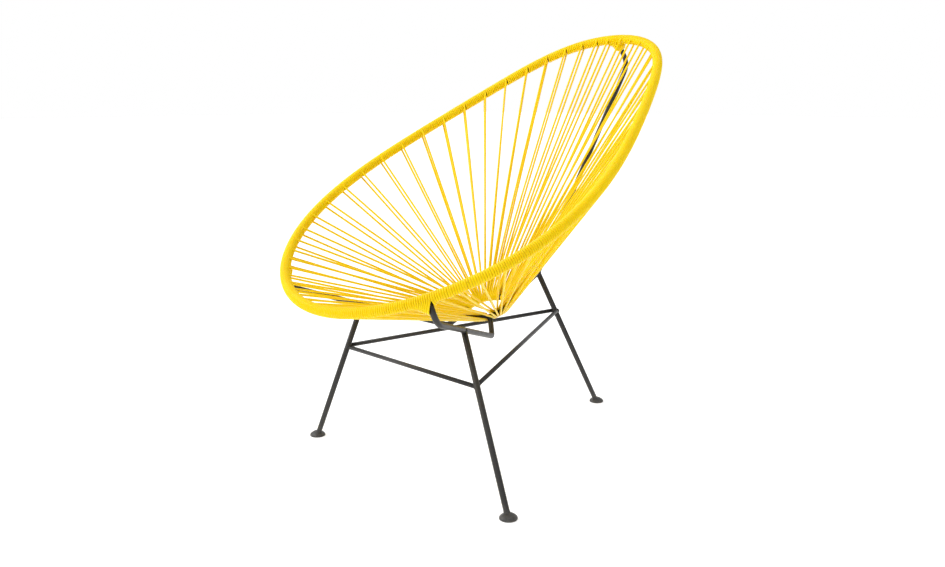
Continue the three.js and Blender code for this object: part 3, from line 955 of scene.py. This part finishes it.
def turned_foot(name):
    rings = np.array(foot_shares[1:-1]) * [foot_radius, foot_height]
    angles = np.arange(foot_sides) / foot_sides * 2 * pi
    wheel = np.stack([np.cos(angles), np.sin(angles)], -1)
    points = [[*(wheel[k] * radius), height] for radius, height in rings for k in range(foot_sides)]
    points += [[0, 0, 0], [0, 0, foot_height]]
    under, over = len(points) - 2, len(points) - 1
    faces = []
    for i in range(len(rings) - 1):
        for k in range(foot_sides):
            low, low_next = i * foot_sides + k, i * foot_sides + (k + 1) % foot_sides
            faces.append([low, low_next, low_next + foot_sides, low + foot_sides])
    last = (len(rings) - 1) * foot_sides
    for k in range(foot_sides):
        following = (k + 1) % foot_sides
        faces.append([under, following, k])
        faces.append([over, last + k, last + following])
    mesh = bpy.data.meshes.new(name)
    mesh.from_pydata((np.array(points) + leg_feet[name]).tolist(), [], faces)
    mesh.shade_smooth()
    foot = bpy.data.objects.new(f"turned_foot_{name}", mesh)
    bpy.context.scene.collection.objects.link(foot)
    rounding = foot.modifiers.new("rounding", "SUBSURF")
    rounding.levels = 1
    rounding.render_levels = 1
    return foot


for name in leg_feet:
    dress(turned_foot(name), foot_material, "foot_steel", f"foot_{name}")
print(f"{len(leg_feet)} feet, {foot_radius * 2000:.0f} mm across")

# %% [markdown]
# ## Welds
# Where two bars meet, a bead of weld runs round the joint under the coating. Its line is where the
# surface of one bar cuts the surface of the other, which a little algebra gives: for each direction
# round the bar, how far along it lies the other bar's skin. The bead swells and ripples slightly, as a
# hand weld does.

# %% Weld beads
bead_radius = 0.0013
bead_points = 72
bead_sides = 8
ripple_count = 24
ripple_share = 0.12
swell_count = 8
swell_range = (0.85, 1.15)
weld_seed = 31
weld_source = np.random.default_rng(weld_seed)


def weld(name, end, away, radius, host_point, host_direction, host_radius):
    """A bead where a bar that runs away from its end meets the skin of the host bar."""
    away, host_direction = unit(away), unit(host_direction)
    side = unit(steady_side(away))
    other = np.cross(away, side)
    angles = np.arange(bead_points) / bead_points * 2 * pi
    spokes = np.cos(angles)[:, None] * side + np.sin(angles)[:, None] * other
    skin = end + spokes * radius - host_point
    flat = skin - (skin @ host_direction)[:, None] * host_direction
    flat_away = away - (away @ host_direction) * host_direction
    a, b = flat_away @ flat_away, flat @ flat_away
    c = (flat * flat).sum(1) - host_radius**2
    distance = (-b + np.sqrt(np.maximum(b * b - a * c, 0))) / a
    line = end + spokes * radius + away * distance[:, None]
    swells = weld_source.uniform(*swell_range, swell_count)
    knots = np.linspace(0, 2 * pi, swell_count + 1)
    swell = np.interp(angles, knots, np.append(swells, swells[0]))
    size = bead_radius * swell * (1 + ripple_share * np.sin(angles * ripple_count))
    bead = mesh_from_rings(name, line, spokes, size, size, bead_sides, closed=True)
    dress(bead, steel_material, "frame_steel")


print(f"a bead is about {bead_radius * 2000:.1f} mm wide")

# %% [markdown]
# Each leg is welded to its rod, each rod to the hub ring and each stretcher to two legs. The rods'
# welds on the rim lie under the winding, so they aren't made.

# %% Every weld that shows
for name in leg_tops:
    rod = rod_corners[name]
    weld(f"weld_leg_{name}", leg_tops[name], leg_feet[name] - leg_tops[name], leg_radius,
         leg_tops[name], rod[2] - rod[1], rod_radius)
    joint_turn = 0.0 if name == "rear" else side_signs[name] * side_hub_turn
    weld(f"weld_hub_{name}", rod[-1], rod[-2] - rod[-1], rod_radius,
         rod[-1], direction_of(hub_point, joint_turn), hub_rod / 2)
stretcher_legs = {"front": ("left", "right"), "left": ("left", "rear"), "right": ("right", "rear")}
for name, legs in stretcher_legs.items():
    line = stretcher_line(name)
    for leg, end, away in zip(legs, line, (line[1] - line[0], line[0] - line[1])):
        weld(f"weld_{name}_bar_{leg}", end, away, stretcher_radius,
             leg_feet[leg], leg_tops[leg] - leg_feet[leg], leg_radius)
print(f"{2 * len(leg_tops) + 2 * len(stretcher_legs)} welds")

# %% [markdown]
# ## Floor
# The photograph is a white catalogue picture, so the floor is a wide sheet of pale, matt paint. It
# glows a little, as paper lit from behind does, so that it stays white and only a trace of shade shows
# where the feet stand.

# %% Floor
floor_reach = 30.0
floor_glow = 0.3
floor_roughness = 0.9
floor_whites = [(0.9, 0.9, 0.9), (0.93, 0.93, 0.93)]
floor_drift_scale, floor_drift_detail = 0.6, 2.0


def floor_paint():
    material, tree, shader = shader_nodes("pale_floor")
    drift = noise(tree, place_in_piece(tree), floor_drift_scale, floor_drift_detail)
    shade = blend_of(tree, drift, *floor_whites)
    tree.links.new(shade, shader.inputs["Base Color"])
    tree.links.new(shade, shader.inputs["Emission Color"])
    shader.inputs["Emission Strength"].default_value = floor_glow
    shader.inputs["Roughness"].default_value = floor_roughness
    return material


floor_mesh = bpy.data.meshes.new("floor")
floor_corners = [(-floor_reach, -floor_reach, 0), (floor_reach, -floor_reach, 0),
                 (floor_reach, floor_reach, 0), (-floor_reach, floor_reach, 0)]
floor_mesh.from_pydata(floor_corners, [], [(0, 1, 2, 3)])
floor_mesh.materials.append(floor_paint())
floor = bpy.data.objects.new("floor", floor_mesh)
bpy.context.scene.collection.objects.link(floor)
print(f"floor {2 * floor_reach:.0f} m wide")

# %% [markdown]
# ## The studio round the chair
# The camera sees a plain white world. As light, the same world is three times as bright from above and
# the picture's left as it is from the opposite side, which gives the cords a bright side and a warm,
# shaded one. A light path node tells the two uses apart, and a dot product with one direction grades
# the light.

# %% World
brightest_towards = Vector((-0.75, -0.3, 0.6)).normalized()
dim_side = 0.43
bright_side = 1.3


def studio_world():
    """White to the camera, and graded from one side to the other as light."""
    world = bpy.data.worlds.new("white_studio")
    world.use_nodes = True
    tree = world.node_tree
    direction = tree.nodes.new("ShaderNodeTexCoord").outputs["Generated"]
    towards = tree.nodes.new("ShaderNodeVectorMath")
    towards.operation = "DOT_PRODUCT"
    towards.inputs[1].default_value = brightest_towards
    tree.links.new(direction, towards.inputs[0])
    side = tree.nodes.new("ShaderNodeMapRange")
    side.inputs["From Min"].default_value = -1
    side.inputs["From Max"].default_value = 1
    side.inputs["To Min"].default_value = dim_side
    side.inputs["To Max"].default_value = bright_side
    tree.links.new(towards.outputs["Value"], side.inputs["Value"])
    seen = tree.nodes.new("ShaderNodeMix")
    seen.inputs["B"].default_value = 1
    tree.links.new(tree.nodes.new("ShaderNodeLightPath").outputs["Is Camera Ray"], seen.inputs["Factor"])
    tree.links.new(side.outputs["Result"], seen.inputs["A"])
    tree.nodes["Background"].inputs["Color"].default_value = (1, 1, 1, 1)
    tree.links.new(seen.outputs["Result"], tree.nodes["Background"].inputs["Strength"])
    return world


bpy.context.scene.world = studio_world()
bpy.context.scene.view_settings.view_transform = "Standard"
print(f"world from {dim_side} to {bright_side} bright")

# %% [markdown]
# ## Lamps
# One large soft lamp hangs on the picture's left, above the chair, and draws a soft bright line on each
# cord. A very wide sun overhead lights the upper faces without a hard shadow.

# %% Lamps
lamp_place = Vector((-1.9, -1.9, 2.6))
lamp_size = 1.6
lamp_watts = 45
chair_middle = Vector((0, 0, 0.45))
overhead_strength = 0.3
overhead_width = radians(120)


def lamp_of(name, kind, strength):
    lamp = bpy.data.objects.new(name, bpy.data.lights.new(name, kind))
    lamp.data.energy = strength
    bpy.context.scene.collection.objects.link(lamp)
    return lamp


key_lamp = lamp_of("key_lamp", "AREA", lamp_watts)
key_lamp.data.size = lamp_size
key_lamp.location = lamp_place
key_lamp.rotation_mode = "QUATERNION"
key_lamp.rotation_quaternion = (chair_middle - lamp_place).to_track_quat("-Z", "Y")
overhead = lamp_of("overhead_softness", "SUN", overhead_strength)
overhead.data.angle = overhead_width
print(f"key lamp {(lamp_place - chair_middle).length:.1f} m from the chair")
